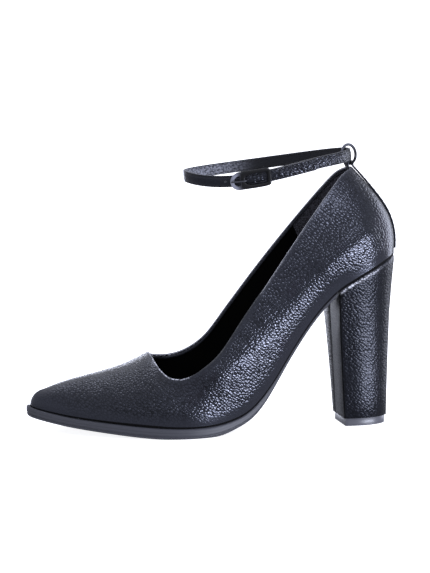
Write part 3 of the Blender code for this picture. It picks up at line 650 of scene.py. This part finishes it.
# Thread: bonded polyester, black, with a faint twist.
thread, tree, shader = new_material("bonded_polyester_thread", "0c0c0f", 0.5, Specular_IOR_Level=0.4)
place = add_node(tree, "ShaderNodeTexCoord")
twist = add_node(tree, "ShaderNodeTexWave", {"Vector": place.outputs["Object"], "Scale": 1 / (0.6 * MM) / math.tau},
                 bands_direction="DIAGONAL")
bump = add_node(tree, "ShaderNodeBump", {"Height": twist.outputs["Fac"], "Strength": 0.5, "Distance": 0.1 * MM})
tree.links.new(bump.outputs["Normal"], shader.inputs["Normal"])


def add_stitch(shape, at, along, out, size):
    """One stitch lying on a surface: a small long bead."""
    along = along.normalized()
    out = (out - along * out.dot(along)).normalized()
    turn = Matrix((along, out.cross(along), out)).transposed().to_4x4()
    scale = Matrix.Diagonal((*(part / 2 for part in size), 1.0))
    bmesh.ops.create_uvsphere(shape, u_segments=8, v_segments=5, radius=1.0,
                              matrix=Matrix.Translation(at) @ turn @ scale)


strip_leather = pebbled_leather("strip_cowhide", "15161b", 1.5 * MM, 0.05 * MM, shine=0.34)
strip = joined_copy("back_strip")
# The strip is pulled down on the wall, and stands free of it only at the fold round the ring
STRIP_PULL = 0.45 * MM
PULL_ROWS = ((146.0, 1.0), (158.0, 0.0))     # mm up, share of the pull
for vert in strip.verts:
    normal = wall_tree.find_nearest(vert.co)[1]
    vert.co -= normal * STRIP_PULL * between(PULL_ROWS, vert.co.z / MM)
strip_tree = BVHTree.FromBMesh(strip)
low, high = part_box("back_strip")
strip_stitches = bmesh.new()
for side in (-1, 1):
    rows = []
    z = low[2] + STRIP_ENDS[0]
    while z < high[2] - STRIP_ENDS[1]:
        hit, normal, _, _ = strip_tree.ray_cast(Vector((0.2, STRIP_MIDDLE + side * STRIP_STITCH_ROW, z)),
                                                Vector((-1.0, 0.0, 0.0)))
        if hit:
            rows.append((hit, normal))
        z += STITCH_PITCH
    for (at, normal), (after, _) in zip(rows, rows[1:]):
        add_stitch(strip_stitches, at, after - at, normal, STITCH)
round_edges(strip, sharp_edges(strip, 50), STRIP_ROUND, 2)
show("back_strip_leather", strip, [strip_leather], ["back_strip"])
show("back_strip_stitches", strip_stitches, [thread])


# Ring
# A cast zinc ring, painted, that turns in the fold of the back strip and lets the strap through.
# Its upper front is painted lighter, as a painted highlight.

# Painted zinc: cast, sprayed dark grey, satin with a faint orange peel; an attribute paints a lighter tone on it as a
# painted highlight.
painted_zinc, tree, shader = new_material("painted_zinc", "1b1c21", 0.3, Specular_IOR_Level=0.3)
place = add_node(tree, "ShaderNodeTexCoord")
highlight_share = add_node(tree, "ShaderNodeAttribute", attribute_name="highlight_share")
peel = add_node(tree, "ShaderNodeTexNoise", {"Vector": place.outputs["Object"], "Scale": 1 / (1.2 * MM),
                                             "Detail": 2.0})
bump = add_node(tree, "ShaderNodeBump", {"Height": peel.outputs["Fac"], "Strength": 0.25, "Distance": 0.1 * MM})
tree.links.new(bump.outputs["Normal"], shader.inputs["Normal"])
tone = add_node(tree, "ShaderNodeMix", {"Factor": highlight_share.outputs["Fac"], 6: srgb("08080a"), 7: srgb("6a6c78")},
                data_type="RGBA")
tree.links.new(tone.outputs["Result"], shader.inputs["Base Color"])


def paint_highlight(shape, share):
    """Writes the share of the painted highlight at each vertex, from a function of its place."""
    layer = shape.verts.layers.float.new("highlight_share")
    for vert in shape.verts:
        vert[layer] = share(vert.co)


ring = subdivided(joined_copy("ring"), 1)
RING_MIDDLE = Vector((86.1, 3.8, 169.5)) * MM
RING_HIGHLIGHT = Vector((-0.6, 0.0, 0.8))           # towards the part of the ring that takes the painted highlight
paint_highlight(ring, lambda at: max(0.05, (at - RING_MIDDLE).normalized().dot(RING_HIGHLIGHT)))
show("painted_ring", ring, [painted_zinc], ["ring"])


# Ankle strap
# Two layers of hide sewn back to back along both edges, so the middle is plump between the rows of stitches.
# Its inner face is a grey napped backing, and its free end lies over its own start and passes the buckle.

# Sizes of the loop in mm, and angles round it from the back over the inner side
STRAP_MIDDLE = 151.2                # from the toe
STRAP_REACH = 51.7                  # half the loop's length, and half its width
STRAP_HALF = 25.0
STRAP_Z = (157.7, 169.8)            # height of its front and its back
OUTER_SAG, INNER_SAG = 4.0, 1.8
SAG_SPAN = 133.0                    # degrees of the outer side that hang, from the front
STRAP_LEAN = math.radians(7.0)
LAYER = 2.2                         # the free end lies this far outside the start
RAMP = (math.radians(186.0), math.radians(234.0))       # where it climbs over the start
STRAP_START, STRAP_END = math.radians(-101.0), math.radians(300.5)
BUCKLE_ANGLE = math.radians(247.6)
STRAP_TIP = 1.8                     # length of the rounded end, and the shares of it where it is shaped
TIP_TURNS = (0.25, 0.5, 0.7, 0.85, 0.95)
NUDGE = 0.01                        # radians, to find the way along the strap
LAST_SHIFT = Vector((-116.5375, 3.802))                 # from the toe and the last's axis to the shoe's origin
# Strap section as mm across and out: flat inside, and grooves where the stitches pull the plump face down
STRAP_SECTION = ((-3.6, -0.45), (-3.6, 0.45), (-3.3, 0.78), (-2.8, 0.78), (-2.5, 0.6), (-2.1, 0.86), (-1.1, 1.02),
                 (0.0, 1.06), (1.1, 1.02), (2.1, 0.86), (2.5, 0.6), (2.8, 0.78), (3.3, 0.78), (3.6, 0.45),
                 (3.6, -0.45), (3.2, -0.88), (0.0, -0.9), (-3.2, -0.88))
BACKING_LANES = {15, 16, 17}
STITCH_LANE = 2.5


def strap_layer(angle):
    """How far the strap lies outside the loop's line, in mm: it climbs over its own start."""
    part = max(0.0, min(1.0, (angle - RAMP[0]) / (RAMP[1] - RAMP[0])))
    return LAYER * part * part * (3 - 2 * part)


def strap_point(angle, across, out):
    """Point on the strap's loop, across its width and out from the loop's line, from mm."""
    d = STRAP_MIDDLE + STRAP_REACH * math.cos(angle)
    y = STRAP_HALF * math.sin(angle)
    away = Vector((STRAP_HALF * math.cos(angle), STRAP_REACH * math.sin(angle))).normalized()
    rise = 0.5 + 0.5 * math.cos(angle)
    past_front = (math.degrees(angle) - 180.0) % 360.0
    sag = OUTER_SAG * math.sin(math.pi * past_front / SAG_SPAN) ** 2 if past_front < SAG_SPAN else 0.0
    if math.sin(angle) > 0.0:
        sag = INNER_SAG * math.sin(angle) ** 2
    z = STRAP_Z[0] + (STRAP_Z[1] - STRAP_Z[0]) * rise - sag
    return Vector((d + away.x * out - math.sin(STRAP_LEAN) * across + LAST_SHIFT.x,
                   y + away.y * out + LAST_SHIFT.y,
                   z + math.cos(STRAP_LEAN) * across)) * MM


def strap_turn(angle):
    """Mm along the strap for one radian at an angle."""
    span = strap_point(angle + NUDGE, 0.0, 0.0) - strap_point(angle - NUDGE, 0.0, 0.0)
    return span.length / (2 * NUDGE) / MM


# Backing: split suede, light grey with a short nap, darkened towards the ring as painted shade.
backing, tree, shader = new_material("split_suede", "6d6e78", 0.9, Specular_IOR_Level=0.15, Sheen_Weight=0.2)
place = add_node(tree, "ShaderNodeTexCoord")
nap = add_node(tree, "ShaderNodeTexNoise", {"Vector": place.outputs["Object"], "Scale": 1 / (1.1 * MM),
                                            "Detail": 4.0})
patchy = add_node(tree, "ShaderNodeMapRange", {"Value": nap.outputs["Fac"], "From Min": 0.36, "From Max": 0.64})
tone = add_node(tree, "ShaderNodeMix", {"Factor": patchy.outputs[0], 6: srgb("26272d"), 7: srgb("777983")},
                data_type="RGBA")
# Painted shade: the backing darkens towards the ring, inside the far strap.
along_shoe = add_node(tree, "ShaderNodeSeparateXYZ", {0: place.outputs["Object"]})
ring_end_shade = add_node(tree, "ShaderNodeMapRange", {"Value": along_shoe.outputs["X"], "From Min": 8 * MM,
                                             "From Max": 34 * MM}, interpolation_type="SMOOTHSTEP")
tone = add_node(tree, "ShaderNodeMix", {"Factor": ring_end_shade.outputs[0], 6: tone.outputs["Result"], 7: srgb("16171b")},
                data_type="RGBA")
tree.links.new(tone.outputs["Result"], shader.inputs["Base Color"])
bump = add_node(tree, "ShaderNodeBump", {"Height": nap.outputs["Fac"], "Strength": 0.5, "Distance": 0.2 * MM})
tree.links.new(bump.outputs["Normal"], shader.inputs["Normal"])

# Raw edge: undyed leather in the punched holes, a lighter grey.
raw_edge, tree, shader = new_material("raw_leather_edge", "8f8f96", 0.7, Specular_IOR_Level=0.3)
place = add_node(tree, "ShaderNodeTexCoord")
fibres = add_node(tree, "ShaderNodeTexNoise", {"Vector": place.outputs["Object"], "Scale": 1 / (0.5 * MM),
                                               "Detail": 3.0})
tone = add_node(tree, "ShaderNodeMix", {"Factor": fibres.outputs["Fac"], 6: srgb("55555c"), 7: srgb("8b8b92")},
                data_type="RGBA")
tree.links.new(tone.outputs["Result"], shader.inputs["Base Color"])

strap_leather = pebbled_leather("strap_cowhide", "0d0e12", 1.5 * MM, 0.26 * MM, grain="grain")
STRAP_FACE, BACKING, RAW = range(3)
STRAP_STEP = math.radians(0.6)
# Puffs between the stitches: from and to in mm past the buckle's bar, pitch and height
PUFFS = ((4.5, 14.0, 2.3, 0.3), (17.5, 110.0, 3.9, 0.16))


def strap_puff(angle, across):
    """How far the face swells between the stitch rows at a place, in mm."""
    run = (angle - BUCKLE_ANGLE) * strap_turn((angle + BUCKLE_ANGLE) / 2)
    for start, end, pitch, height in PUFFS:
        if start < run < end and abs(across) < STITCH_LANE:
            ends = min(1.0, (run - start) / pitch, (end - run) / pitch)
            return height * ends * (1.0 - (across / STITCH_LANE) ** 2) * math.cos(math.tau * run / pitch)
    return 0.0


tip_angle = STRAP_TIP / strap_turn(STRAP_END)
straight = STRAP_END - tip_angle - STRAP_START
count = round(straight / STRAP_STEP)
strap_stations = [(STRAP_START + straight * i / count, 1.0) for i in range(count + 1)]
strap_stations += [(STRAP_END - tip_angle + tip_angle * turn, math.sqrt(1.0 - turn * turn)) for turn in TIP_TURNS]
strap_sections = []
for angle, share in strap_stations:
    section = []
    for across, out in STRAP_SECTION:
        swell = strap_puff(angle, across) if out > 0 else 0.0
        section.append(strap_point(angle, across * share, strap_layer(angle) + out + swell))
    strap_sections.append(section)
strap = sweep(strap_sections, closed=False)
lane = strap.verts.layers.int["lane"]
for face in strap.faces:
    if {vert[lane] for vert in face.verts} <= BACKING_LANES:
        face.material_index = BACKING

# Holes: one for the prong and one spare, as mm along from the buckle's bar and radius
PUNCHED_HOLES = ((2.4, 0.9), (-10.3, 0.65))
PUNCH_LIFT = 1.1          # mm from the strap's middle, so that the backing stays whole
PUNCH_LENGTH = 3.2 * MM
punch = bmesh.new()
for along, radius in PUNCHED_HOLES:
    angle = BUCKLE_ANGLE + along / strap_turn(BUCKLE_ANGLE)
    middle = strap_point(angle, 0.0, strap_layer(angle) + PUNCH_LIFT)
    way = strap_point(angle, 0.0, strap_layer(angle) + PUNCH_LIFT + 1.0) - middle
    turn = way.to_track_quat("Z", "Y").to_matrix().to_4x4()
    bmesh.ops.create_cone(punch, cap_ends=True, segments=16, radius1=radius * MM, radius2=radius * MM,
                          depth=PUNCH_LENGTH, matrix=Matrix.Translation(middle) @ turn)
for face in punch.faces:
    face.material_index = RAW


def punched(shape, cutter):
    """Bmesh of a shape with a cutter taken out of it."""
    made = []
    for part in (shape, cutter):
        mesh = bpy.data.meshes.new("rough_form")
        part.to_mesh(mesh)
        part.free()
        for _ in (STRAP_FACE, BACKING, RAW):
            mesh.materials.append(None)
        made.append(bpy.data.objects.new("rough_form", mesh))
        bpy.context.scene.collection.objects.link(made[-1])
    cut = made[0].modifiers.new("holes", "BOOLEAN")
    cut.operation = "DIFFERENCE"
    cut.object = made[1]
    bpy.context.view_layer.update()
    result = bmesh.new()
    result.from_object(made[0], bpy.context.evaluated_depsgraph_get())
    for rough in made:
        mesh = rough.data
        bpy.data.objects.remove(rough)
        bpy.data.meshes.remove(mesh)
    return result


# The grain is worn flat in front, and plump from the buckle back to the ring; degrees round the loop and share
STRAP_GRAIN = ((0.0, 1.0), (60.0, 0.6), (180.0, 0.3), (240.0, 0.35), (252.0, 1.0), (360.0, 1.0))
strap = punched(strap, punch)
grain_layer = strap.verts.layers.float.new("grain")
for vert in strap.verts:
    d = (vert.co.x / MM - LAST_SHIFT.x - STRAP_MIDDLE) / STRAP_REACH
    y = (vert.co.y / MM - LAST_SHIFT.y) / STRAP_HALF
    vert[grain_layer] = between(STRAP_GRAIN, math.degrees(math.atan2(y, d)) % 360.0)
show("strap_band", strap, [strap_leather, backing, raw_edge], ["ankle_strap"])

STRAP_STITCH = (2.9 * MM, 0.5 * MM, 0.4 * MM)
STRAP_STITCH_PITCH = 3.9
FIRST_STITCH = 2.0                  # mm from the strap's start
STITCH_LEVELS = (0.62, -0.92)       # mm out from the strap's middle, on the face and on the backing
strap_stitches = bmesh.new()
angle = STRAP_START + FIRST_STITCH / strap_turn(STRAP_START)
while angle < STRAP_END - tip_angle:
    before, after = (strap_point(turn, 0.0, strap_layer(turn)) for turn in (angle - NUDGE, angle + NUDGE))
    for across in (-STITCH_LANE, STITCH_LANE):
        for out in STITCH_LEVELS:
            at = strap_point(angle, across, strap_layer(angle) + out)
            further = strap_point(angle, across, strap_layer(angle) + 2 * out)
            add_stitch(strap_stitches, at, after - before, further - at, STRAP_STITCH)
    angle += STRAP_STITCH_PITCH / strap_turn(angle)
show("strap_stitches", strap_stitches, [thread])


# Buckle
# Cast zinc, painted: a frame with a round end, a bar for the prong, and a square end.
# The round end is painted light grey, a painted reflection of the white surround on its round bars.

bar_at = strap_point(BUCKLE_ANGLE, 0.0, LAYER)
bar_way = (strap_point(BUCKLE_ANGLE + NUDGE, 0.0, LAYER) - bar_at).normalized()
REFLECTION_ENDS = (-4.2 * MM, -0.5 * MM)       # along the strap from the bar: full painted reflection, and none


def round_end(at):
    """Share of the painted reflection at a place on the buckle."""
    part = ((at - bar_at).dot(bar_way) - REFLECTION_ENDS[1]) / (REFLECTION_ENDS[0] - REFLECTION_ENDS[1])
    return max(0.0, min(1.0, part))


buckle = subdivided(joined_copy("buckle_frame"), 1)
# The casting's rails are broad and flat
RAIL_SPREAD = 0.45 * MM
bar_out = (strap_point(BUCKLE_ANGLE, 0.0, LAYER + 1.0) - bar_at).normalized()
buckle.normal_update()
for vert in buckle.verts:
    vert.co += (vert.normal - bar_out * vert.normal.dot(bar_out)) * RAIL_SPREAD
paint_highlight(buckle, round_end)
show("buckle", buckle, [painted_zinc], ["buckle_frame"])
PRONG_LIGHT_TONE = 0.15
prong = subdivided(joined_copy("buckle_prong"), 1)
paint_highlight(prong, lambda at: PRONG_LIGHT_TONE)
show("prong", prong, [painted_zinc], ["buckle_prong"])


# Studio
# An opal light table under soft light, seen by a long lens from the outer side.

# Opal acrylic: matt white and lit from below, so shadows on it stay pale.
opal, tree, shader = new_material("opal_acrylic", "f6f6f8", 0.9, Specular_IOR_Level=0.0, Emission_Strength=0.85)
shader.inputs["Emission Color"].default_value = srgb("ffffff")
floor_shape = bmesh.new()
bmesh.ops.create_grid(floor_shape, x_segments=1, y_segments=1, size=12.0)
floor_mesh = bpy.data.meshes.new("floor")
floor_shape.to_mesh(floor_mesh)
floor_shape.free()
floor_mesh.materials.append(opal)
floor = bpy.data.objects.new("floor", floor_mesh)
bpy.context.scene.collection.objects.link(floor)
# The table's own light isn't mirrored in the leather, and the low strip shines up through it
floor.visible_glossy = False
floor.visible_shadow = False

world = bpy.data.worlds.new("studio")
bpy.context.scene.world = world
world.use_nodes = True
tree = world.node_tree
sky = tree.nodes["Background"]
place = add_node(tree, "ShaderNodeTexCoord")
way = add_node(tree, "ShaderNodeSeparateXYZ", {0: place.outputs["Generated"]})
glow = add_node(tree, "ShaderNodeMapRange", {"Value": way.outputs["Z"], "From Min": -0.3, "From Max": 0.4,
                                             "To Min": 0.45, "To Max": 0.9}, interpolation_type="SMOOTHSTEP")
tree.links.new(glow.outputs[0], sky.inputs["Strength"])
sky.inputs["Color"].default_value = srgb("eef1ff")

AIM = Vector((0.02, 0.0, 0.09))
# Softboxes: degrees round from the outer side towards the heel, degrees up, distance, width and height in
# metres, and brightness in watts for each square metre and steradian
SOFTBOXES = (
    ("low_strip", 50.0, -13.0, 1.5, (0.66, 0.22), 50.0),
    ("side", 24.0, 29.0, 1.5, (0.32, 0.3), 13.0),
    ("back", 115.0, 6.0, 1.5, (0.6, 0.9), 5.5),
    ("far", 194.0, -2.0, 1.5, (0.9, 0.5), 3.5),
    ("top", -162.0, 58.0, 1.5, (0.6, 0.3), 6.0),
)
for name, azimuth, rise, distance, (width, height), brightness in SOFTBOXES:
    a, e = math.radians(azimuth), math.radians(rise)
    lamp = bpy.data.lights.new(name, "AREA")
    lamp.shape = "RECTANGLE"
    lamp.size = width
    lamp.size_y = height
    lamp.energy = brightness * math.pi * width * height
    lamp.color = srgb("e8edff")[:3]
    box = bpy.data.objects.new(name, lamp)
    box.location = AIM + distance * Vector((math.sin(a) * math.cos(e), -math.cos(a) * math.cos(e), math.sin(e)))
    box.rotation_euler = (AIM - box.location).to_track_quat("-Z", "Y").to_euler()
    box.visible_camera = False
    bpy.context.scene.collection.objects.link(box)
overhead = bpy.data.lights.new("overhead", "SUN")
overhead.energy = 0.3
overhead.angle = math.radians(80.0)
overhead_box = bpy.data.objects.new("overhead", overhead)
bpy.context.scene.collection.objects.link(overhead_box)

lens = bpy.data.cameras.new("camera")
camera = bpy.data.objects.new("camera", lens)
bpy.context.scene.collection.objects.link(camera)
EYE = Vector((-358.0, -2146.1, 414.1)) * MM
LOOK = Vector((1.1, -0.2, 88.9)) * MM
FRAME_HEIGHT = 573 * 0.62 * MM            # of the picture, where the shoe stands
SENSOR = 36.0
lens.sensor_width = SENSOR
lens.lens = SENSOR * (LOOK - EYE).length / FRAME_HEIGHT
lens.clip_end = 50.0
camera.location = EYE
camera.rotation_euler = (LOOK - EYE).to_track_quat("-Z", "Y").to_euler()
bpy.context.scene.camera = camera
bpy.context.scene.view_settings.view_transform = "Standard"
